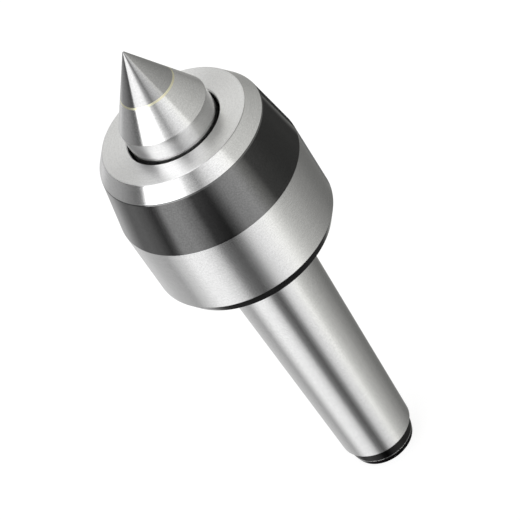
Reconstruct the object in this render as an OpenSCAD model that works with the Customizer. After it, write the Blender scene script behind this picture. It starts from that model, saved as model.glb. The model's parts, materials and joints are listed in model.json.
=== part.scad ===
// Live center with a carbide point and a Morse taper shank.
// The housing stays still in the tailstock. The spindle turns in it on an angular contact ball
// bearing, a thrust ball bearing and a needle bearing, and a spring takes up the end play.
// Z is the axis of rotation. Z = 0 is the gauge plane of the taper, and +Z points to the tip.

/* [Point] */
// Included angle of the point, in degrees
point_angle = 60; // [50:1:75]
// Diameter of the spindle at the base of the point
point_d = 29.8; // [24:0.1:36]
// Length of the plain collar between the point and the front cap
collar_length = 7.2; // [4:0.1:16]
// Rounding radius at the very tip
tip_radius = 0.5; // [0.2:0.1:1]
// Diameter of the carbide where it meets the steel of the point
carbide_d = 17.8; // [15:0.1:21]
// Diameter of the carbide stub that sits in the spindle
stub_d = 12; // [8:0.5:13]
// Length of the carbide stub
stub_length = 14; // [8:0.5:20]
// Thickness of the brazing alloy under the carbide
braze_face = 0.6; // [0.2:0.05:0.8]
// Thickness of the brazing alloy round the stub
braze_side = 0.1; // [0.05:0.05:0.3]

/* [Front cap] */
// Height of the cap in front of the seam with the housing
cap_height = 5.1; // [4.5:0.1:10]
// Radial width of the bevel on the cap
bevel_width = 3.5; // [1:0.1:5]
// Thickness of the lip that covers the shaft seal
cap_lip = 4.5; // [2:0.1:4.5]
// Radial gap between the collar and the cap
collar_gap = 0.9; // [0.5:0.1:2.5]
// Length of the threaded spigot, drawn without its thread
spigot_length = 7.2; // [6.8:0.1:12]
// Least wall of the spigot round the shaft seal
spigot_wall = 4; // [3:0.5:7]
// Thickness of the sealing ring in the spigot groove
cap_ring_section = 1.4; // [1:0.1:1.8]

/* [Shaft seal] */
// Radial width of the shaft seal
seal_section = 5.5; // [5:0.5:8]
// Length of the shaft seal along the axis
seal_length = 6; // [5:0.5:6]
// Thickness of the seal's steel case
seal_case_wall = 0.8; // [0.5:0.1:1]

/* [Front bearing] */
// Bore of the front bearing
front_bore = 25; // [20.5:0.5:30]
// Radial thickness of the front bearing, from bore to outside
front_section = 11; // [9:0.5:14]
// Width of the front bearing
front_width = 12; // [10:0.5:16]
// Diameter of its balls
front_ball_d = 6.35; // [5:0.05:7.8]
// Free space between two balls
front_ball_space = 2.8; // [2:0.1:5]
// Height of the spring ring behind the outer ring
spring_height = 1.8; // [1.2:0.1:2.5]
// Thickness of the spring ring
spring_thickness = 0.8; // [0.4:0.1:1]

/* [Lock nut] */
// Radial thickness of the lock nut
nut_section = 6.5; // [5:0.5:8]
// Height of the lock nut
nut_height = 7; // [5:0.5:10]
// Thickness of the tab washer
tab_thickness = 1.25; // [0.8:0.05:1.6]
// Width of the spanner slots in the nut
nut_slot_width = 5; // [3:0.5:6]
// Depth of the spanner slots in the nut
nut_slot_depth = 2; // [1.6:0.1:2.5]

/* [Thrust bearing] */
// Bore of the thrust bearing
thrust_bore = 20; // [16:0.5:24]
// Radial thickness of the thrust bearing
thrust_section = 7.5; // [6.5:0.5:9]
// Height of the whole thrust bearing
thrust_height = 10; // [9:0.5:14]
// Thickness of each of its washers
thrust_washer = 3; // [2.5:0.1:3.2]
// Diameter of its balls
thrust_ball_d = 5.5; // [5:0.1:6.6]
// Free space between two balls
thrust_ball_space = 1.6; // [1:0.1:3]

/* [Needle bearing] */
// Diameter of the spindle's tail journal
journal_d = 15; // [12:0.5:18]
// Diameter of the needles
needle_d = 2; // [1.6:0.1:2.4]
// Free space between two needles
needle_space = 1.2; // [0.8:0.1:3]
// Length of the drawn cup
cup_length = 16; // [12:0.5:20]
// Wall thickness of the drawn cup
cup_wall = 1; // [0.6:0.1:1.5]
// Depth of the cup's front edge below the gauge plane
cup_depth = 0; // [0:0.5:20]

/* [Housing] */
// Steel round the front bearing, from its seat to the outside of the body
body_wall = 8; // [6:0.1:14]
// Steel between the cap thread and the outside at the seam
nose_wall = 3; // [2:0.1:4]
// Steel between the front bearing seat and the cap thread
thread_step = 1.5; // [1:0.1:2]
// Length of the cone behind the seam
nose_length = 19.5; // [8:0.1:30]
// Steel between the rear face and the thrust bearing
rear_web = 11.5; // [8:0.1:30]
// Length of the chamfer at the rear of the body
rear_chamfer_length = 4.5; // [2:0.1:8]
// Depth of the chamfer at the rear of the body
rear_chamfer_depth = 2.5; // [1:0.1:6]

/* [Shank] */
// Diameter of the Morse taper at its gauge plane
gauge_d = 31.267; // [26:0.001:38]
// Length over which the taper loses 1 mm of diameter
taper_rate = 19.254; // [18:0.001:21]
// Distance from the gauge plane to the rear face of the body
gauge_offset = 6.5; // [4:0.1:12]
// Length of the shank below the gauge plane
shank_length = 102.5; // [80:0.5:130]
// Length of the relieved end of the shank
relief_length = 7.2; // [4:0.1:12]
// Radial step from the ground taper down to the relieved end
relief_step = 1.35; // [0.5:0.05:2]
// Length of the chamfer on the shank end
end_chamfer_length = 2.5; // [1:0.1:4]
// Depth of the chamfer on the shank end
end_chamfer_depth = 0.6; // [0.3:0.1:1.5]
// Drill diameter of the centre hole in the shank end
centre_drill_d = 6.3; // [4:0.1:7]
// Mouth diameter of the centre hole
centre_mouth_d = 13.2; // [9:0.1:15]

/* [Hidden] */
$fn = 96;

// Clearances
seat_fit = 0.01;        // between a seated ring and its seat
race_gap = 0.05;        // between a ball and its race
roller_gap = 0.02;      // between a needle and its raceways
lip_gap = 0.05;         // between the seal lip and the collar
thread_fit = 0.1;       // between the spigot and the thread bore
run_gap = 0.4;          // between fixed and turning surfaces that pass each other
pocket_gap = 1.2;       // round the lock nut and the thrust bearing
nut_gap = 0.75;         // between the lock nut and the thrust bearing
ball_pocket_gap = 0.2;  // round a ball in its cage
key_gap = 0.5;          // in the slot under the tab washer's inner tab
edge = 0.4;             // small edge chamfer
over = 1;               // overshoot of cutting shapes
tail_overhang = 2;      // of the tail past the needle bearing
tail_gap = 3;           // between the tail and the end of its bore

// Proportions and counts that belong to the kind of part
land_share = 0.66;      // height of a bearing ring's land above the pitch circle, in ball radii
cutback_share = 0.94;   // the same for the land that is cut back
cage_share = 0.57;      // thickness of the front cage between the lands
cage_margin = 1.5;      // from the cage's end to the face of the front bearing
thrust_cage_share = 0.6; // height of the thrust cage between the washers
groove_share = 1.3;     // width of the sealing ring's groove, in ring thicknesses
garter_r = 0.55;        // radius of the coil spring in the shaft seal
lip_thickness = 1;      // of the seal lip under its spring
cup_lip = 0.8;          // thickness of the turned-in ends of the needle cup
cage_end = 1.2;         // length of the needle cage past the needles
tab_teeth = 13;         // on the tab washer
tooth_share = 0.6;      // width of a tooth in a nut slot
nut_slots = 4;          // for the spanner
centre_angle = 60;      // of a centre-drilled hole
tail_drill_r = 1.25;    // radius of the centre hole in the spindle's tail
tail_mouth_r = 2.65;    // radius of that hole's mouth

// Radii, from the inside out
point_r = point_d / 2;
front_bore_r = front_bore / 2;
front_outer_r = front_bore_r + front_section;
front_pitch_r = front_bore_r + front_section / 2;
front_ball_r = front_ball_d / 2;
front_land = front_ball_r * land_share;
front_cutback = front_ball_r * cutback_share;
nut_r = front_bore_r + nut_section;
thrust_bore_r = thrust_bore / 2;
thrust_outer_r = thrust_bore_r + thrust_section;
thrust_pitch_r = thrust_bore_r + thrust_section / 2;
thrust_ball_r = thrust_ball_d / 2;
journal_r = journal_d / 2;
needle_r = needle_d / 2;
needle_pitch_r = journal_r + needle_r;
cup_inner_r = journal_r + needle_d;
cup_outer_r = cup_inner_r + cup_wall;
pocket_r = max(nut_r, thrust_outer_r) + pocket_gap;
seal_r = point_r + seal_section;
thread_r = max(front_outer_r + thread_step, seal_r + spigot_wall);
spigot_r = thread_r - thread_fit;
seam_r = thread_r + nose_wall;
body_r = max(front_outer_r + body_wall, seam_r + edge);
cap_face_r = seam_r - bevel_width;
cap_bore_r = point_r + collar_gap;
abutment_r = max(point_r, front_bore_r + thread_step);
neck_r = min(thrust_bore_r, cup_outer_r) - run_gap;
shoulder_rise = max(0, thrust_bore_r - cup_outer_r + run_gap);

// Heights, from the gauge plane up
rear_face_z = gauge_offset;
thrust_floor_z = rear_face_z + rear_web;
thrust_mid_z = thrust_floor_z + thrust_height / 2;
thrust_top_z = thrust_floor_z + thrust_height;
nut_z = thrust_top_z + nut_gap;
tab_z = nut_z + nut_height;
front_rear_z = tab_z + tab_thickness;
front_mid_z = front_rear_z + front_width / 2;
front_face_z = front_rear_z + front_width;
seam_z = front_face_z + spigot_length;
cap_face_z = seam_z + cap_height;
seal_top_z = cap_face_z - cap_lip;
seal_z = seal_top_z - seal_length;
cone_base_z = cap_face_z + collar_length;
apex_z = cone_base_z + point_r / tan(point_angle / 2);
carbide_z = apex_z - carbide_d / 2 / tan(point_angle / 2);
stub_z = carbide_z - stub_length;
stub_r = stub_d / 2;
tip_centre_z = apex_z - tip_radius / sin(point_angle / 2);

// Heights, from the gauge plane down
cup_top_z = -cup_depth;
cup_bottom_z = cup_top_z - cup_length;
tail_z = cup_bottom_z - tail_overhang;
tail_bore_z = tail_z - tail_gap;
taper_end_z = relief_length - shank_length;
shank_end_z = -shank_length;

// Radius of the Morse taper at height z
function taper_r(z) = gauge_d / 2 + z / taper_rate / 2;
relief_r = taper_r(taper_end_z) - relief_step;

// Radius of the point at height z
function point_r_at(z) = (apex_z - z) * tan(point_angle / 2);

// Number of rolling elements that fit on a pitch circle with the stated space between them
function count_on(pitch_r, size, space) = floor(2 * PI * pitch_r / (size + space));
front_ball_count = count_on(front_pitch_r, front_ball_d, front_ball_space);
thrust_ball_count = count_on(thrust_pitch_r, thrust_ball_d, thrust_ball_space);
needle_count = count_on(needle_pitch_r, needle_d, needle_space);

// Half section of a flat ring from radius a to radius b, with its four edges broken
module ring_section(a, b, z, height, c = edge) {
    polygon([
        [a + c, z], [b - c, z], [b, z + c], [b, z + height - c],
        [b - c, z + height], [a + c, z + height], [a, z + height - c], [a, z + c]
    ]);
}

// Circular row of the children, each moved out to the given radius
module around(count, radius) {
    for (i = [0 : count - 1]) {
        rotate([0, 0, i * 360 / count]) translate([radius, 0, 0]) children();
    }
}

// Half section of a centre-drilled hole whose mouth is at z = 0 and which goes up
module centre_hole_section(drill_r, mouth_r) {
    cone_h = (mouth_r - drill_r) / tan(centre_angle / 2);
    polygon([
        [0, -over], [mouth_r, -over], [mouth_r, 0], [drill_r, cone_h],
        [drill_r, cone_h + 2 * drill_r], [0, cone_h + 2 * drill_r + drill_r / 2]
    ]);
}

// Body and shank, turned from one bar
module housing() {
    color("dimgray") rotate_extrude() difference() {
        polygon([
            [0, shank_end_z],
            [relief_r - end_chamfer_depth, shank_end_z],
            [relief_r, shank_end_z + end_chamfer_length],
            [relief_r, taper_end_z],
            [taper_r(taper_end_z), taper_end_z],
            [taper_r(rear_face_z), rear_face_z],
            [body_r - rear_chamfer_depth, rear_face_z],
            [body_r, rear_face_z + rear_chamfer_length],
            [body_r, seam_z - nose_length],
            [seam_r, seam_z],
            [thread_r, seam_z],
            [thread_r, front_face_z - edge],
            [front_outer_r, front_face_z - edge],
            [front_outer_r, front_rear_z - spring_height],
            [pocket_r, front_rear_z - spring_height],
            [pocket_r, thrust_top_z - edge],
            [thrust_outer_r, thrust_top_z - edge],
            [thrust_outer_r, thrust_floor_z],
            [cup_outer_r, thrust_floor_z],
            [cup_outer_r, cup_bottom_z],
            [journal_r + over, cup_bottom_z],
            [journal_r + over, tail_bore_z],
            [0, tail_bore_z]
        ]);
        translate([0, shank_end_z]) centre_hole_section(centre_drill_d / 2, centre_mouth_d / 2);
    }
}

// Screwed cap that holds the front bearing and the shaft seal
module front_cap() {
    groove_r = spigot_r - cap_ring_section;
    groove_z = seam_z - 2 * cap_ring_section;
    color("silver") rotate_extrude() difference() {
        polygon([
            [seal_r, front_face_z],
            [spigot_r, front_face_z],
            [spigot_r, seam_z],
            [seam_r, seam_z],
            [cap_face_r, cap_face_z],
            [cap_bore_r + edge, cap_face_z],
            [cap_bore_r, cap_face_z - edge],
            [cap_bore_r, seal_top_z],
            [seal_r, seal_top_z]
        ]);
        translate([groove_r, groove_z]) square([2 * cap_ring_section, cap_ring_section * groove_share]);
    }
}

// Rubber ring in the spigot groove, which keeps coolant out of the thread
module cap_seal_ring() {
    ring_r = cap_ring_section / 2;
    ring_z = seam_z - 2 * cap_ring_section + ring_r * groove_share;
    color("black") rotate_extrude() translate([spigot_r - ring_r + thread_fit / 2, ring_z]) circle(ring_r);
}

// Steel case of the shaft seal, pressed into the cap
module shaft_seal_case() {
    flange_r = point_r + collar_gap + seal_case_wall;
    color("lightgray") rotate_extrude() polygon([
        [seal_r - seal_case_wall, seal_z],
        [seal_r - seat_fit, seal_z],
        [seal_r - seat_fit, seal_top_z],
        [flange_r, seal_top_z],
        [flange_r, seal_top_z - seal_case_wall],
        [seal_r - seal_case_wall, seal_top_z - seal_case_wall]
    ]);
}

// Place of the coil spring that presses the seal lip inwards
garter_pitch_r = point_r + lip_thickness + 2 * garter_r;
garter_z = seal_z + 3 * garter_r;

// Rubber lip that wipes the spindle collar
module shaft_seal_lip() {
    web_z = seal_top_z - seal_case_wall;
    color("black") rotate_extrude() difference() {
        polygon([
            [seal_r - seal_case_wall, web_z],
            [point_r + collar_gap, web_z],
            [point_r + collar_gap - lip_gap, garter_z + garter_r],
            [point_r + lip_gap, garter_z],
            [point_r + lip_gap + garter_r, seal_z],
            [garter_pitch_r, seal_z],
            [garter_pitch_r, web_z - seal_case_wall],
            [seal_r - seal_case_wall, web_z - seal_case_wall]
        ]);
        translate([garter_pitch_r, garter_z]) circle(garter_r);
    }
}

// Spring in the groove of the seal lip
module shaft_seal_spring() {
    color("silver") rotate_extrude() translate([garter_pitch_r, garter_z]) circle(garter_r);
}

// Outer ring of the front bearing, cut back in front so that the balls can be put in
module front_bearing_outer_ring() {
    inner_r = front_pitch_r + front_land;
    color("gainsboro") rotate_extrude() difference() {
        ring_section(inner_r, front_outer_r - seat_fit, front_rear_z, front_width);
        translate([front_pitch_r, front_mid_z]) circle(front_ball_r + race_gap);
        translate([front_pitch_r, front_mid_z]) square([front_cutback, front_width]);
    }
}

// Inner ring of the front bearing, cut back behind
module front_bearing_inner_ring() {
    outer_r = front_pitch_r - front_land;
    cut_r = front_pitch_r - front_cutback;
    color("gainsboro") rotate_extrude() difference() {
        ring_section(front_bore_r + seat_fit, outer_r, front_rear_z, front_width);
        translate([front_pitch_r, front_mid_z]) circle(front_ball_r + race_gap);
        translate([cut_r, front_rear_z - over]) square([front_ball_r, front_width / 2 + over]);
    }
}

module front_bearing_balls() {
    color("white") translate([0, 0, front_mid_z]) around(front_ball_count, front_pitch_r) {
        sphere(front_ball_r);
    }
}

// Ring with a round pocket for each ball
module front_bearing_cage() {
    thickness = 2 * front_land * cage_share;
    length = front_width - 2 * cage_margin;
    color("saddlebrown") difference() {
        rotate_extrude() translate([front_pitch_r, front_mid_z]) square([thickness, length], center = true);
        translate([0, 0, front_mid_z]) around(front_ball_count, front_pitch_r) rotate([0, 90, 0]) {
            cylinder(h = thickness + 2 * over, r = front_ball_r + ball_pocket_gap, center = true);
        }
    }
}

// Conical spring ring that pushes the outer ring against the cap
module preload_spring() {
    inner_r = pocket_r + run_gap;
    outer_r = front_outer_r - run_gap;
    foot_z = front_rear_z - spring_height;
    color("slategray") rotate_extrude() polygon([
        [inner_r, front_rear_z],
        [inner_r, front_rear_z - spring_thickness],
        [outer_r, foot_z],
        [outer_r, foot_z + spring_thickness]
    ]);
}

// Slot in the spindle thread that holds the tab washer's inner tab
key_width = nut_slot_width;
key_depth = tab_thickness + key_gap;
tab_slot_length = front_rear_z - thrust_top_z;

// Tab of the given width and height that reaches out from one radius to another
module tab(from_r, to_r, width, height) {
    translate([from_r, -width / 2, 0]) cube([to_r - from_r, width, height]);
}

// Washer with outer teeth, one inner tab and one tooth bent into a slot of the nut
module tab_washer() {
    rim_r = nut_r - nut_slot_depth + edge;
    tooth_width = nut_slot_width * tooth_share;
    bend_r = rim_r + edge * 2;
    color("darkgray") translate([0, 0, tab_z]) {
        difference() {
            cylinder(h = tab_thickness, r = rim_r);
            translate([0, 0, -over]) cylinder(h = tab_thickness + 2 * over, r = front_bore_r + seat_fit);
        }
        for (i = [1 : tab_teeth - 1]) {
            rotate([0, 0, i * 360 / tab_teeth]) tab(rim_r - over, nut_r + edge, tooth_width, tab_thickness);
        }
        tab(rim_r - edge, bend_r, tooth_width, tab_thickness);
        translate([0, 0, -nut_height / 2]) {
            tab(rim_r - edge / 2, bend_r, tooth_width, nut_height / 2 + tab_thickness);
        }
        rotate([0, 0, 180]) {
            inner_r = front_bore_r - key_depth + run_gap;
            tab(inner_r, front_bore_r + over, key_width - run_gap, tab_thickness);
        }
    }
}

// Slotted nut that clamps the inner ring against the spindle's abutment
module lock_nut() {
    color("dimgray") difference() {
        rotate_extrude() ring_section(front_bore_r + seat_fit, nut_r, nut_z, nut_height);
        for (i = [0 : nut_slots - 1]) {
            rotate([0, 0, i * 360 / nut_slots]) translate([0, 0, nut_z - over]) {
                tab(nut_r - nut_slot_depth, nut_r + over, nut_slot_width, nut_height + 2 * over);
            }
        }
    }
}

// Thrust washer with the ball race cut into the face nearest to the balls
module thrust_ring(bore_r, outer_r, z) {
    rotate_extrude() difference() {
        ring_section(bore_r, outer_r, z, thrust_washer);
        translate([thrust_pitch_r, thrust_mid_z]) circle(thrust_ball_r + race_gap);
    }
}

// Washer that turns with the spindle
module thrust_shaft_washer() {
    washer_z = thrust_top_z - thrust_washer;
    color("gainsboro") thrust_ring(thrust_bore_r + seat_fit, thrust_outer_r - run_gap, washer_z);
}

// Washer that stays still in the housing
module thrust_housing_washer() {
    color("gainsboro") thrust_ring(thrust_bore_r + run_gap * 2, thrust_outer_r - seat_fit, thrust_floor_z);
}

module thrust_balls() {
    color("white") translate([0, 0, thrust_mid_z]) around(thrust_ball_count, thrust_pitch_r) {
        sphere(thrust_ball_r);
    }
}

// Flat ring with a round pocket for each ball
module thrust_cage() {
    width = thrust_section - 3 * run_gap;
    height = (thrust_height - 2 * thrust_washer) * thrust_cage_share;
    color("goldenrod") difference() {
        rotate_extrude() translate([thrust_pitch_r, thrust_mid_z]) square([width, height], center = true);
        translate([0, 0, thrust_mid_z]) around(thrust_ball_count, thrust_pitch_r) {
            sphere(thrust_ball_r + ball_pocket_gap);
        }
    }
}

// Drawn cup with turned-in ends, pressed into the shank
module needle_cup() {
    lip_r = journal_r + run_gap;
    color("gainsboro") rotate_extrude() difference() {
        translate([lip_r, cup_bottom_z]) square([cup_outer_r - seat_fit - lip_r, cup_length]);
        translate([0, cup_bottom_z + cup_lip]) square([cup_inner_r, cup_length - 2 * cup_lip]);
    }
}

needle_cage_length = cup_length - 2 * cup_lip - run_gap;
needle_length = needle_cage_length - 2 * cage_end;
needle_mid_z = cup_bottom_z + cup_length / 2;

module needle_rollers() {
    color("white") translate([0, 0, needle_mid_z]) around(needle_count, needle_pitch_r) {
        cylinder(h = needle_length, r = needle_r - roller_gap, center = true);
    }
}

// Thin ring with a slot for each needle
module needle_cage() {
    inner_r = journal_r + run_gap;
    outer_r = cup_inner_r - run_gap;
    slot_length = needle_length + ball_pocket_gap;
    color("goldenrod") translate([0, 0, needle_mid_z]) difference() {
        cylinder(h = needle_cage_length, r = outer_r, center = true);
        cylinder(h = needle_cage_length + 2 * over, r = inner_r, center = true);
        around(needle_count, needle_pitch_r) {
            cylinder(h = slot_length, r = needle_r + ball_pocket_gap / 2, center = true);
        }
    }
}

// Turning spindle with the steel part of the point
module spindle() {
    neck_z = cup_top_z + over;
    carbide_seat_z = carbide_z - braze_face;
    color("silver") difference() {
        rotate_extrude() difference() {
            polygon([
                [0, tail_z],
                [journal_r - edge, tail_z],
                [journal_r - roller_gap, tail_z + edge],
                [journal_r - roller_gap, neck_z],
                [neck_r, neck_z + edge],
                [neck_r, thrust_floor_z + shoulder_rise - edge],
                [thrust_bore_r, thrust_floor_z + shoulder_rise],
                [thrust_bore_r, thrust_top_z],
                [front_bore_r, thrust_top_z],
                [front_bore_r, front_face_z],
                [abutment_r, front_face_z],
                [abutment_r, front_face_z + over],
                [point_r, front_face_z + over],
                [point_r, cone_base_z],
                [point_r_at(carbide_seat_z), carbide_seat_z],
                [stub_r + braze_side, carbide_seat_z],
                [stub_r + braze_side, stub_z - braze_face],
                [0, stub_z - braze_face]
            ]);
            translate([0, tail_z]) centre_hole_section(tail_drill_r, tail_mouth_r);
        }
        rotate([0, 0, 180]) translate([0, 0, thrust_top_z - over]) {
            tab(front_bore_r - key_depth, front_bore_r + over, key_width, tab_slot_length + over);
        }
    }
}

// Brazing alloy, which shows as a thin line round the point
module braze_joint() {
    seat_z = carbide_z - braze_face;
    color("palegoldenrod") rotate_extrude() polygon([
        [0, stub_z - braze_face],
        [stub_r + braze_side, stub_z - braze_face],
        [stub_r + braze_side, seat_z],
        [point_r_at(seat_z), seat_z],
        [point_r_at(carbide_z), carbide_z],
        [stub_r, carbide_z],
        [stub_r, stub_z],
        [0, stub_z]
    ]);
}

// Carbide point with a round tip and a stub
module carbide_tip() {
    tangent_z = tip_centre_z + tip_radius * sin(point_angle / 2);
    color("gray") union() {
        translate([0, 0, stub_z]) cylinder(h = stub_length + over, r = stub_r);
        translate([0, 0, carbide_z]) {
            cylinder(h = tangent_z - carbide_z, r1 = carbide_d / 2, r2 = point_r_at(tangent_z));
        }
        translate([0, 0, tip_centre_z]) sphere(tip_radius);
    }
}

housing();
front_cap();
cap_seal_ring();
shaft_seal_case();
shaft_seal_lip();
shaft_seal_spring();
front_bearing_outer_ring();
front_bearing_inner_ring();
front_bearing_balls();
front_bearing_cage();
preload_spring();
tab_washer();
lock_nut();
thrust_shaft_washer();
thrust_housing_washer();
thrust_balls();
thrust_cage();
needle_cup();
needle_rollers();
needle_cage();
spindle();
braze_joint();
carbide_tip();
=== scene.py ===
import json
import math

import bmesh
import bpy
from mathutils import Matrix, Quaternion, Vector


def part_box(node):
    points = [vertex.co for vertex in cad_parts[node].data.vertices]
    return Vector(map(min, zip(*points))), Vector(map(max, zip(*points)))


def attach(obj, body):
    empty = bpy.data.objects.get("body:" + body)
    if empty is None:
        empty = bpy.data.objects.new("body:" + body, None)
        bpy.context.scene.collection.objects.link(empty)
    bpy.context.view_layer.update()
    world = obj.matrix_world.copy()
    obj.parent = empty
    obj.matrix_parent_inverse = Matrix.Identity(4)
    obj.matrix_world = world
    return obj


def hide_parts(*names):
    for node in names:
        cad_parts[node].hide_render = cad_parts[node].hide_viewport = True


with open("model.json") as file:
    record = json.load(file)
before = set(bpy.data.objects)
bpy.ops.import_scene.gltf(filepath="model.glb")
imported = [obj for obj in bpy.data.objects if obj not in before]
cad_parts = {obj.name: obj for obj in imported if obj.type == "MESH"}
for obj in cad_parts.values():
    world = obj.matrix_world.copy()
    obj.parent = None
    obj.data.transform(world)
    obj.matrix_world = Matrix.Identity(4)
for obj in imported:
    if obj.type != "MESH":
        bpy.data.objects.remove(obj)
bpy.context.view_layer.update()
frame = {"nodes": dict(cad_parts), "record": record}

mm = 0.001


def sizeOf(node):
    # outer radius, lowest and highest point of a CAD node, in millimetres
    low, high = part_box(node)
    return high[0] / mm, low[2] / mm, high[2] / mm


slotOf = {part["node"]: part["material_slot"] for part in frame["record"]["subparts"]}
bodyRadius, shankEnd, seam = sizeOf("housing")
capRadius, capFoot, capFace = sizeOf("front_cap")
pointRadius, tail, brazeFoot = sizeOf("spindle")
carbideRadius, stubFoot, tipTop = sizeOf("carbide_tip")
_, stubSeat, brazeTop = sizeOf("braze_joint")
sealRadius, _, sealTop = sizeOf("shaft_seal_case")
ringRadius, _, ringFace = sizeOf("front_bearing_outer_ring")
_, springFoot, _ = sizeOf("preload_spring")
nutRadius, _, _ = sizeOf("lock_nut")
thrustRadius, thrustFoot, _ = sizeOf("thrust_housing_washer")
_, _, thrustTop = sizeOf("thrust_shaft_washer")
cupRadius, cupFoot, _ = sizeOf("needle_cup")
print("frame loaded")


class Wire:
    # one socket of a node tree, so that plain expressions add Math nodes
    def __init__(self, tree, socket=None):
        self.tree = tree
        self.socket = socket

    def node(self, kind, settings=None, inputs=None, output=0):
        made = self.tree.nodes.new(kind)
        for name, value in (settings or {}).items():
            if name == "stops":
                elements = made.color_ramp.elements
                while len(elements) < len(value):
                    elements.new(1.0)
                for element, (place, colour) in zip(elements, value):
                    element.position = place
                    element.color = colour
            else:
                setattr(made, name, value)
        for name, value in (inputs or {}).items():
            if isinstance(value, Wire):
                self.tree.links.new(value.socket, made.inputs[name])
            else:
                made.inputs[name].default_value = value
        return None if output is None else Wire(self.tree, made.outputs[output])

    def math(self, operation, first, second=0.0):
        return self.node("ShaderNodeMath", {"operation": operation}, {0: first, 1: second})

    def __add__(self, other):
        return self.math("ADD", self, other)

    def __radd__(self, other):
        return self.math("ADD", other, self)

    def __sub__(self, other):
        return self.math("SUBTRACT", self, other)

    def __rsub__(self, other):
        return self.math("SUBTRACT", other, self)

    def __mul__(self, other):
        return self.math("MULTIPLY", self, other)

    def __rmul__(self, other):
        return self.math("MULTIPLY", other, self)

    def __truediv__(self, other):
        return self.math("DIVIDE", self, other)

    def split(self, vector):
        # the three parts of a vector
        parts = self.node("ShaderNodeSeparateXYZ", {}, {0: vector}).socket.node
        return [Wire(self.tree, part) for part in parts.outputs]

    def rise(self, low, high):
        # smooth step from 0 to 1 while this value goes from low to high
        settings = {"interpolation_type": "SMOOTHSTEP"}
        return self.node("ShaderNodeMapRange", settings, {0: self, 1: low, 2: high})

    def between(self, low, high, soft):
        # 1 from low to high and 0 outside, with soft edges
        return self.rise(low, low + soft) * (1 - self.rise(high - soft, high))

    def mixColours(self, first, second):
        # this value is the factor
        return self.node("ShaderNodeMix", {"data_type": "RGBA"}, {0: self, 6: first, 7: second}, 2)

    def bump(self, strength, depth):
        # relief for a Normal socket, with its depth in millimetres
        return self.node("ShaderNodeBump", {}, {"Strength": strength, "Distance": depth * mm, "Height": self})


def grey(value):
    return (value, value, value, 1.0)


def newMaterial(name):
    material = bpy.data.materials.new(name)
    material.use_nodes = True
    material.node_tree.nodes.clear()
    return material, Wire(material.node_tree)


def finishMaterial(wires, settings):
    shader = wires.node("ShaderNodeBsdfPrincipled", {}, settings)
    wires.node("ShaderNodeOutputMaterial", {"is_active_output": True}, {"Surface": shader}, None)


def turnedPlace(wires):
    # place in millimetres, the radius, and the turn as a cosine and a sine, which have no seam
    x, y, z = (part / mm for part in wires.split(wires.node("ShaderNodeTexCoord", {}, {}, "Object")))
    radius = wires.math("SQRT", x * x + y * y)
    reach = radius + 0.001        # keeps the axis from dividing by zero
    return {"x": x, "y": y, "z": z, "radius": radius, "cosine": x / reach, "sine": y / reach}


noise = {"ringDetail": 2.0, "ringRoughness": 0.6, "grainDetail": 3.0, "contrast": (0.35, 0.65)}


def ringMarks(wires, at, perMillimetre, perTurn):
    # marks that run round the axis, as a tool or a grinding wheel leaves them
    along = wires.node("ShaderNodeCombineXYZ", {}, {
        0: at["z"] * perMillimetre, 1: at["radius"] * perMillimetre, 2: at["cosine"] * perTurn})
    return wires.node("ShaderNodeTexNoise", {"noise_dimensions": "4D"}, {
        "Vector": along, "W": at["sine"] * perTurn, "Scale": 1.0,
        "Detail": noise["ringDetail"], "Roughness": noise["ringRoughness"]})


def grainMarks(wires, at, size):
    # even grain of the given size in millimetres
    spot = wires.node("ShaderNodeCombineXYZ", {}, {0: at["x"] / size, 1: at["y"] / size, 2: at["z"] / size})
    return wires.node("ShaderNodeTexNoise", {}, {
        "Vector": spot, "Scale": 1.0, "Detail": noise["grainDetail"]})


# ground steel has fine rings, bands of rings that are broader and longer, and even grain
ground = {"tone": 0.80, "dark": 0.91, "light": 1.07, "ringShare": 0.4, "grainShare": 0.6,
          "roughness": 0.20, "ringUneven": 0.07, "bandUneven": 0.04, "grainUneven": 0.06,
          "anisotropy": 0.75, "lay": 0.25, "perMillimetre": 9.0, "perTurn": 1.6,
          "bandBroader": 8.0, "bandLonger": 2.0, "grain": 0.45, "depth": 0.02, "relief": 0.07,
          "grainRelief": 0.6, "matteSoft": 0.05}


def groundLook(wires, at, finish):
    # colour, roughness and relief of finely ground steel
    rings = ringMarks(wires, at, finish["perMillimetre"], finish["perTurn"])
    bands = ringMarks(wires, at, finish["perMillimetre"] / finish["bandBroader"],
                      finish["perTurn"] / finish["bandLonger"])
    grain = grainMarks(wires, at, finish["grain"])
    shade = (rings * finish["ringShare"] + grain * finish["grainShare"]).rise(*noise["contrast"])
    roughness = finish["roughness"] + (rings - 0.5) * finish["ringUneven"]
    roughness = roughness + (bands - 0.5) * finish["bandUneven"] + (grain - 0.5) * finish["grainUneven"]
    dark = grey(finish["tone"] * finish["dark"])
    light = grey(finish["tone"] * finish["light"])
    marks = rings + grain * finish["grainRelief"]
    return {"colour": shade.mixColours(dark, light), "roughness": roughness, "marks": marks,
            "grain": grain, "rings": rings}


def groundSteel(name, finish, matteFrom=None, matte=0.0):
    # ground steel, with its flat front from the height matteFrom up turned and not ground
    material, wires = newMaterial(name)
    at = turnedPlace(wires)
    look = groundLook(wires, at, finish)
    roughness = look["roughness"]
    if matteFrom is not None:
        roughness = roughness + at["z"].rise(matteFrom, matteFrom + finish["matteSoft"]) * matte
    finishMaterial(wires, {
        "Base Color": look["colour"], "Roughness": roughness, "Metallic": 1.0,
        "Normal": look["marks"].bump(finish["relief"], finish["depth"]),
        "Anisotropic": finish["anisotropy"], "Anisotropic Rotation": finish["lay"]})
    return material


blackened = {"nose": 0.19, "rest": 0.015, "pale": 1.2, "roughness": 0.11, "unevenness": 0.02, "relief": 0.01}


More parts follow.
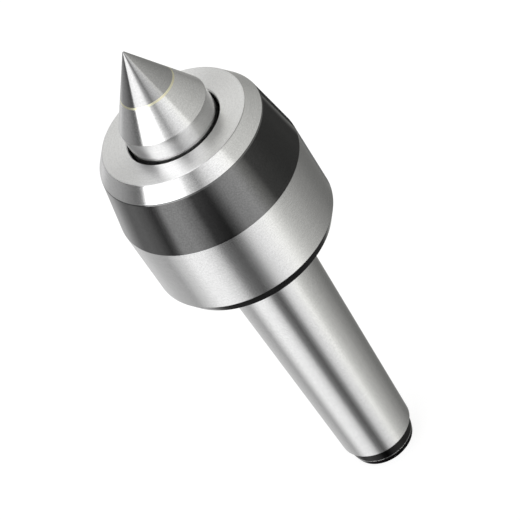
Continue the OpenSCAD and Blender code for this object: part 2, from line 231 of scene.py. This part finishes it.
def housingSteel(name, finish, black, zones):
    # one bar of steel: blackened all over, then the rear band and the taper are ground bright. A ring of
    # bright steel colour at the top of the end's chamfer is a painted highlight
    material, wires = newMaterial(name)
    at = turnedPlace(wires)
    look = groundLook(wires, at, finish)
    soft = zones["soft"]
    band = at["z"].between(zones["bandFoot"], zones["bandTop"], soft)
    band = band * at["radius"].rise(*zones["bandRadii"])
    taper = at["z"].between(zones["taperEnd"], zones["rearFace"], soft)
    taper = taper * at["radius"].between(*zones["taperRadii"], soft)
    # painted highlight: a ring of bright steel colour at the top of the end's chamfer, broken up by the grain
    highlightRing = at["z"].between(zones["highlightFoot"], zones["highlightTop"], zones["highlightSoft"])
    highlightRing = highlightRing * look["grain"].rise(*zones["highlightGrain"])
    bright = wires.math("MAXIMUM", wires.math("MAXIMUM", band, taper), highlightRing)
    nose = at["z"].between(zones["bandTop"] - soft, zones["seam"], soft)
    evenBlack = nose.mixColours(grey(black["rest"]), grey(black["nose"]))
    paleBlack = nose.mixColours(grey(black["rest"] * black["pale"]), grey(black["nose"] * black["pale"]))
    blackColour = look["grain"].rise(*noise["contrast"]).mixColours(evenBlack, paleBlack)
    relief = bright * finish["relief"] + (1 - bright) * black["relief"]
    blackRoughness = black["roughness"] + (look["grain"] + look["rings"] - 1) * black["unevenness"]
    finishMaterial(wires, {
        "Base Color": bright.mixColours(blackColour, look["colour"]),
        "Roughness": bright * look["roughness"] + (1 - bright) * blackRoughness,
        "Metallic": 1.0, "Normal": look["marks"].bump(relief, finish["depth"]),
        "Anisotropic": finish["anisotropy"], "Anisotropic Rotation": finish["lay"]})
    return material


plain = {"perMillimetre": 7.0, "perTurn": 1.2, "cloud": 5.0, "contrast": (0.3, 0.7),
         "dark": 0.9, "light": 1.08, "unevenness": 0.12, "depth": 0.02}


def plainFinish(name, colour, roughness, metallic, relief=0.06):
    # turned rings under slow clouds of tone
    material, wires = newMaterial(name)
    at = turnedPlace(wires)
    rings = ringMarks(wires, at, plain["perMillimetre"], plain["perTurn"])
    clouds = grainMarks(wires, at, plain["cloud"])
    dark = tuple(part * plain["dark"] for part in colour) + (1.0,)
    light = tuple(min(1.0, part * plain["light"]) for part in colour) + (1.0,)
    finishMaterial(wires, {
        "Base Color": clouds.rise(*plain["contrast"]).mixColours(dark, light), "Metallic": metallic,
        "Roughness": roughness + (rings - 0.5) * plain["unevenness"],
        "Normal": rings.bump(relief, plain["depth"])})
    return material


turning = {"steps": 256, "guard": 0.03, "arcSteps": 4, "sharpFrom": 32.0, "weld": 1e-7}


def turned(name, outline):
    # spins an outline round the Z axis. Each corner is (radius, height) in millimetres, with a third number
    # where the corner is rounded. Guard points beside a rounded corner keep the long walls flat in shading.
    mesh = bmesh.new()
    corners = [Vector((corner[0], 0.0, corner[1])) for corner in outline]
    points = []
    rounded = {}
    for index, corner in enumerate(outline):
        here = corners[index]
        point = mesh.verts.new(here * mm)
        if len(corner) == 2:
            points.append(point)
            continue
        rounded.setdefault(corner[2], []).append(point)
        reach = corner[2] + turning["guard"]
        ways = (corners[index - 1] - here, corners[(index + 1) % len(corners)] - here)
        guards = [mesh.verts.new((here + way.normalized() * reach) * mm) for way in ways]
        points += [guards[0], point, guards[1]]
    for pair in zip(points, points[1:]):
        mesh.edges.new(pair)
    if outline[0][0] > 0:
        mesh.edges.new((points[-1], points[0]))
    for rounding, group in rounded.items():
        bmesh.ops.bevel(mesh, geom=group, offset=rounding * mm, offset_type="OFFSET", affect="VERTICES",
                        segments=turning["arcSteps"], profile=0.5, material=-1, clamp_overlap=True)
    bmesh.ops.spin(mesh, geom=mesh.verts[:] + mesh.edges[:], cent=(0, 0, 0), axis=(0, 0, 1), angle=math.tau,
                   steps=turning["steps"], use_merge=True)
    bmesh.ops.remove_doubles(mesh, verts=mesh.verts, dist=turning["weld"])
    bmesh.ops.recalc_face_normals(mesh, faces=mesh.faces)
    return finishMesh(mesh, name)


def finishMesh(mesh, name):
    data = bpy.data.meshes.new(name)
    mesh.to_mesh(data)
    mesh.free()
    data.shade_smooth()
    data.set_sharp_from_angle(angle=math.radians(turning["sharpFrom"]))
    piece = bpy.data.objects.new(name, data)
    bpy.context.scene.collection.objects.link(piece)
    return piece


def place(piece, body, node, material):
    piece.data.materials.append(material)
    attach(piece, body)
    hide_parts(node)


# body and shank, one turned piece
housing = {"noseLength": 19.5, "chamferLength": 4.5, "chamferDepth": 2.5, "rearFace": 6.5,
           "gaugeRadius": 15.6335, "taperRate": 19.254, "reliefLength": 7.2, "reliefStep": 1.35,
           "endChamferLength": 2.5, "endChamferDepth": 0.6, "centreAngle": 60.0, "mouthRadius": 6.6,
           "drillRadius": 3.15, "drillRun": 2.0, "drillTip": 0.5, "threadRadius": 25.0, "landEdge": 0.4,
           "pocketGap": 1.2, "tailRadius": 8.5, "tailGap": 3.0, "seamRounding": 0.4, "rounding": 0.25,
           # the last two give the painted highlight ring's reach below and above the top of the end's chamfer
           "endRounding": 0.5, "highlightBelow": 0.3, "highlightAbove": 0.2}
taperEnd = shankEnd + housing["reliefLength"]
bandTop = seam - housing["noseLength"]
bandFoot = housing["rearFace"] + housing["chamferLength"]
# the top of the end's chamfer, where the painted highlight ring lies
endChamferTop = shankEnd + housing["endChamferLength"]


def taperRadius(height):
    return housing["gaugeRadius"] + height / housing["taperRate"] / 2


reliefRadius = taperRadius(taperEnd) - housing["reliefStep"]
mouthDepth = housing["mouthRadius"] - housing["drillRadius"]
mouthTop = shankEnd + mouthDepth / math.tan(math.radians(housing["centreAngle"] / 2))
drillTop = mouthTop + housing["drillRun"] * housing["drillRadius"]
drillTip = drillTop + housing["drillTip"] * housing["drillRadius"]
soft = housing["rounding"]
housingOutline = [
    (0, drillTip),
    (housing["drillRadius"], drillTop),
    (housing["drillRadius"], mouthTop),
    (housing["mouthRadius"], shankEnd, soft),
    (reliefRadius - housing["endChamferDepth"], shankEnd, soft),
    (reliefRadius, endChamferTop, housing["endRounding"]),
    (reliefRadius, taperEnd, soft),
    (taperRadius(taperEnd), taperEnd, soft),
    (taperRadius(housing["rearFace"]), housing["rearFace"], soft),
    (bodyRadius - housing["chamferDepth"], housing["rearFace"], soft),
    (bodyRadius, bandFoot, soft),
    (bodyRadius, bandTop, soft),
    (capRadius, seam, housing["seamRounding"]),
    (housing["threadRadius"], seam),
    (housing["threadRadius"], ringFace - housing["landEdge"]),
    (ringRadius, ringFace - housing["landEdge"]),
    (ringRadius, springFoot),
    (nutRadius + housing["pocketGap"], springFoot),
    (nutRadius + housing["pocketGap"], thrustTop - housing["landEdge"]),
    (thrustRadius, thrustTop - housing["landEdge"]),
    (thrustRadius, thrustFoot),
    (cupRadius, thrustFoot),
    (cupRadius, cupFoot),
    (housing["tailRadius"], cupFoot),
    (housing["tailRadius"], tail - housing["tailGap"]),
    (0, tail - housing["tailGap"]),
]
# where the steel is bright, by height and by radius, which leaves the bores and the rear face black
zones = {"bandFoot": bandFoot, "bandTop": bandTop, "bandRadii": (24.0, 24.5), "taperEnd": taperEnd,
         "rearFace": housing["rearFace"], "taperRadii": (12.7, 17.0), "seam": seam, "soft": 0.06,
         # the painted highlight ring of bright steel colour, patchy with the grain
         "highlightFoot": endChamferTop - housing["highlightBelow"], "highlightTop": endChamferTop + housing["highlightAbove"],
         "highlightSoft": 0.1, "highlightGrain": (0.3, 0.5)}
place(turned("turned_housing", housingOutline), "body", "housing",
      housingSteel("housing_steel", ground, blackened, zones))

# front cap
cap = {"faceRadius": 24.5, "collarGap": 0.9, "boreEdge": 0.4, "spigotRadius": 24.9, "grooveDepth": 1.4,
       "grooveFoot": 53.4, "grooveWidth": 1.82, "rounding": 0.15, "seamRounding": 0.2, "bevelRounding": 0.25,
       "matteFace": 0.12, "matteDepth": 0.1, "tone": 0.90}
grooveRadius = cap["spigotRadius"] - cap["grooveDepth"]
grooveTop = cap["grooveFoot"] + cap["grooveWidth"]
boreRadius = pointRadius + cap["collarGap"]
soft = cap["rounding"]
capOutline = [
    (sealRadius, capFoot),
    (cap["spigotRadius"], capFoot),
    (cap["spigotRadius"], cap["grooveFoot"]),
    (grooveRadius, cap["grooveFoot"]),
    (grooveRadius, grooveTop),
    (cap["spigotRadius"], grooveTop),
    (cap["spigotRadius"], seam),
    (capRadius, seam, cap["seamRounding"]),
    (cap["faceRadius"], capFace, cap["bevelRounding"]),
    (boreRadius + cap["boreEdge"], capFace, soft),
    (boreRadius, capFace - cap["boreEdge"], soft),
    (boreRadius, sealTop),
    (sealRadius, sealTop),
]
capFinish = ground | {"tone": cap["tone"]}
place(turned("turned_cap", capOutline), "body", "front_cap",
      groundSteel("ground_cap", capFinish, capFace - cap["matteDepth"], cap["matteFace"]))

# spindle
spindle = {"pointAngle": 60.0, "journal": 7.48, "neck": 9.6, "neckFoot": 1.0, "thrustSeat": 10.0,
           "bearingSeat": 12.5, "stubHole": 6.1, "edge": 0.4, "rounding": 0.12}
carbide = {"tipRadius": 0.5, "stub": 6.0, "tipSteps": 6, "tone": 0.48, "roughness": 0.18}
halfPoint = math.radians(spindle["pointAngle"] / 2)
slope = math.tan(halfPoint)
apex = tipTop + carbide["tipRadius"] * (1 / math.sin(halfPoint) - 1)
coneBase = apex - pointRadius / slope
soft = spindle["rounding"]
spindleOutline = [
    (0, tail),
    (spindle["journal"] - spindle["edge"], tail, soft),
    (spindle["journal"], tail + spindle["edge"], soft),
    (spindle["journal"], spindle["neckFoot"]),
    (spindle["neck"], spindle["neckFoot"] + spindle["edge"]),
    (spindle["neck"], thrustFoot - spindle["edge"]),
    (spindle["thrustSeat"], thrustFoot),
    (spindle["thrustSeat"], thrustTop),
    (spindle["bearingSeat"], thrustTop),
    (spindle["bearingSeat"], ringFace),
    (pointRadius, ringFace, soft),
    (pointRadius, coneBase, soft),
    ((apex - brazeFoot) * slope, brazeFoot),
    (spindle["stubHole"], brazeFoot),
    (spindle["stubHole"], stubSeat),
    (0, stubSeat),
]
place(turned("ground_spindle", spindleOutline), "turning_spindle", "spindle",
      groundSteel("ground_spindle", ground))

# carbide point with its round tip
carbideFinish = ground | {"tone": carbide["tone"], "roughness": carbide["roughness"]}
tipTurn = math.pi / 2 - halfPoint
tipTurns = [step / carbide["tipSteps"] * tipTurn for step in range(carbide["tipSteps"], 0, -1)]
tipArc = [(carbide["tipRadius"] * math.sin(angle), tipTop - carbide["tipRadius"] * (1 - math.cos(angle)))
          for angle in tipTurns]
carbideOutline = [
    (0, stubFoot),
    (carbide["stub"], stubFoot),
    (carbide["stub"], brazeTop),
    (carbideRadius, brazeTop),
    *tipArc,
    (0, tipTop),
]
place(turned("carbide_point", carbideOutline), "turning_spindle", "carbide_tip",
      groundSteel("carbide", carbideFinish))

# brazing alloy between carbide and steel
braze = {"colour": (0.98, 0.92, 0.68), "roughness": 0.32}
brazeOutline = [
    (0, stubSeat),
    (spindle["stubHole"], stubSeat),
    (spindle["stubHole"], brazeFoot),
    ((apex - brazeFoot) * slope, brazeFoot),
    (carbideRadius, brazeTop),
    (carbide["stub"], brazeTop),
    (carbide["stub"], stubFoot),
    (0, stubFoot),
]
place(turned("braze_line", brazeOutline), "turning_spindle", "braze_joint",
      plainFinish("braze_alloy", braze["colour"], braze["roughness"], 1.0))
print("visible pieces turned")

# pieces inside the body keep their CAD shape. Each finish has a colour, a roughness and a metallic value.
finishes = {
    "rubber": plainFinish("rubber", (0.02, 0.02, 0.02), 0.55, 0.0),
    "pressed_steel": plainFinish("pressed_steel", (0.55, 0.55, 0.54), 0.35, 1.0),
    "spring_steel": plainFinish("spring_steel", (0.42, 0.42, 0.45), 0.3, 1.0),
    "bearing_steel": plainFinish("bearing_steel", (0.68, 0.68, 0.69), 0.18, 1.0),
    "bearing_balls": plainFinish("bearing_balls", (0.8, 0.8, 0.81), 0.08, 1.0, relief=0.0),
    "cage_resin": plainFinish("cage_resin", (0.32, 0.16, 0.07), 0.45, 0.0),
    "cage_brass": plainFinish("cage_brass", (0.72, 0.52, 0.24), 0.3, 1.0),
    "black_oxide_nut": plainFinish("black_oxide_nut", (0.09, 0.09, 0.09), 0.35, 1.0),
}
for node, piece in frame["nodes"].items():
    if slotOf[node] in finishes:
        piece.data.materials.clear()
        piece.data.materials.append(finishes[slotOf[node]])
print("inner pieces finished")


def glowingBoard(name, tone, light):
    # matte paint that gives off an even light
    material, wires = newMaterial(name)
    finishMaterial(wires, {"Base Color": grey(tone), "Roughness": 0.9,
                           "Emission Color": grey(1.0), "Emission Strength": light})
    return material


# the floor lies just under the shank's end, so that the two don't share a plane. Its radius is in metres.
room = {"clearance": 0.1, "floorRadius": 6.0, "floorSides": 96, "floorTone": 0.28, "floorGlow": 0.86}
floorMesh = bmesh.new()
bmesh.ops.create_circle(floorMesh, cap_ends=True, radius=room["floorRadius"], segments=room["floorSides"])
bmesh.ops.translate(floorMesh, verts=floorMesh.verts, vec=(0, 0, (shankEnd - room["clearance"]) * mm))
floor = finishMesh(floorMesh, "floor")
floor.data.materials.append(glowingBoard("pale_floor", room["floorTone"], room["floorGlow"]))
floor.visible_glossy = False

# cards beside the body that only reflections see, a black one above a grey one. Each has a foot, a top and a
# light of its own.
cards = {"from": 32.0, "to": 54.0, "behind": 42.0, "tone": 0.02,
         "panels": {"black_card": (2.0, 27.0, 0.02), "grey_card": (-31.0, 2.0, 0.12)}}
for name, (foot, top, light) in cards["panels"].items():
    cardMesh = bmesh.new()
    corner = cardMesh.verts.new(Vector((cards["from"], cards["behind"], foot)) * mm)
    edge = bmesh.ops.extrude_vert_indiv(cardMesh, verts=[corner])
    bmesh.ops.translate(cardMesh, verts=edge["verts"], vec=((cards["to"] - cards["from"]) * mm, 0, 0))
    sheet = bmesh.ops.extrude_edge_only(cardMesh, edges=edge["edges"])
    raised = [part for part in sheet["geom"] if isinstance(part, bmesh.types.BMVert)]
    bmesh.ops.translate(cardMesh, verts=raised, vec=(0, 0, (top - foot) * mm))
    card = finishMesh(cardMesh, name)
    card.data.materials.append(glowingBoard(name, cards["tone"], light))
    card.visible_camera = False
    card.visible_diffuse = False
    card.visible_shadow = False

# light tent round the object, in five storeys from the floor up. A storey takes over from the one below while
# the direction's z goes from its first number to its second. Then it lists its brightness against the turn
# about the axis in degrees: 0 towards the camera, + towards +X. Most panels on the +X side are a bit warmer.
tent = {"strength": 2.5, "warmth": 0.965, "warmFrom": 30.0, "ground": 0.03, "storeys": {
    "walls": (-0.86, -0.76, [
        (-180, 0.56), (-152, 0.55), (-122, 0.42), (-104, 0.34), (-96, 0.60), (-80, 0.92), (-58, 0.90),
        (-44, 0.68), (-32, 0.20), (-18, 0.09), (-8, 0.26), (2, 0.64), (14, 0.82), (32, 0.95), (46, 0.68),
        (62, 0.50), (90, 0.29), (120, 0.165), (140, 0.145), (158, 0.20), (172, 0.50), (180, 0.56)]),
    "nose": (-0.60, -0.57, [
        (-180, 0.60), (-164, 0.50), (-148, 0.62), (-136, 0.50), (-121, 0.30), (-108, 0.34), (-94, 0.26),
        (-82, 0.08), (-76, 0.20), (-68, 0.76), (-52, 0.76), (-40, 0.44), (-29, 0.04), (-11, 0.00), (-4, 0.16),
        (8, 0.70), (26, 0.90), (38, 0.50), (50, 0.12), (80, 0.09), (120, 0.09), (140, 0.06), (151, 0.22),
        (165, 0.28), (180, 0.50)]),
    "point": (-0.31, -0.25, [
        (-180, 0.50), (-144, 0.36), (-118, 0.26), (-94, 0.11), (-86, 0.12), (-82, 1.45), (-54, 1.70),
        (-38, 1.50), (-28, 0.66), (-14, 0.33), (-2, 0.60), (14, 0.80), (34, 0.92), (38, 0.56), (60, 0.50),
        (100, 0.38), (144, 0.28), (180, 0.45)]),
    "high": (0.45, 0.60, [
        (-180, 0.62), (-168, 0.30), (-150, 0.03), (-120, 0.02), (-106, 0.06), (-97, 0.98), (-60, 1.12),
        (-44, 0.95), (-30, 0.45), (-15, 0.02), (-2, 0.50), (15, 0.85), (30, 0.80), (42, 0.40), (62, 0.26),
        (90, 0.18), (124, 0.16), (146, 0.30), (162, 0.78), (174, 0.84), (180, 0.62)]),
    "top": (0.74, 0.82, [
        (-180, 1.00), (-160, 1.20), (-120, 1.20), (-100, 0.80), (-60, 0.60), (0, 0.60), (60, 0.30),
        (100, 0.26), (150, 0.30), (165, 0.50), (180, 1.00)])}}
world = bpy.data.worlds.new("light_tent")
bpy.context.scene.world = world
world.use_nodes = True
world.node_tree.nodes.clear()
sky = Wire(world.node_tree)
toSky = sky.split(sky.node("ShaderNodeTexCoord", {}, {}, "Generated"))
turn = sky.math("ARCTAN2", toSky[0], 0 - toSky[1]) / math.tau + 0.5


def storey(panels):
    # the ramp holds half the brightness, because its colours end at 1
    stops = []
    for angle, light in panels:
        warm = tent["warmth"] if angle > tent["warmFrom"] else 1.0
        stops.append((angle / 360 + 0.5, (light / 2, light / 2, light / 2 * warm, 1.0)))
    return sky.node("ShaderNodeValToRGB", {"stops": stops}, {0: turn})


tentLight = grey(tent["ground"])
for low, high, panels in tent["storeys"].values():
    tentLight = toSky[2].rise(low, high).mixColours(tentLight, storey(panels))
seen = sky.node("ShaderNodeLightPath", {}, {}, "Is Camera Ray")
backdrop = sky.node("ShaderNodeBackground", {}, {
    "Color": seen.mixColours(tentLight, grey(1 / tent["strength"])), "Strength": tent["strength"]})
sky.node("ShaderNodeOutputWorld", {"is_active_output": True}, {"Surface": backdrop}, None)

view = {"lens": 162.27, "sensor": 36.0, "aim": (-0.00085, 0.0, -0.00304), "distance": 0.759,
        "elevation": 40.17, "roll": 34.01}
elevation = math.radians(view["elevation"])
back = Vector((0.0, -math.cos(elevation), math.sin(elevation)))
rolled = Quaternion((0, 0, 1), math.radians(-view["roll"]))
camera = bpy.data.objects.new("camera", bpy.data.cameras.new("camera"))
bpy.context.scene.collection.objects.link(camera)
camera.data.lens = view["lens"]
camera.data.sensor_width = view["sensor"]
camera.location = Vector(view["aim"]) + back * view["distance"]
camera.rotation_mode = "QUATERNION"
camera.rotation_quaternion = (-back).to_track_quat("-Z", "Y") @ rolled
bpy.context.scene.camera = camera
bpy.context.scene.view_settings.view_transform = "Standard"
print("room, light and camera set")
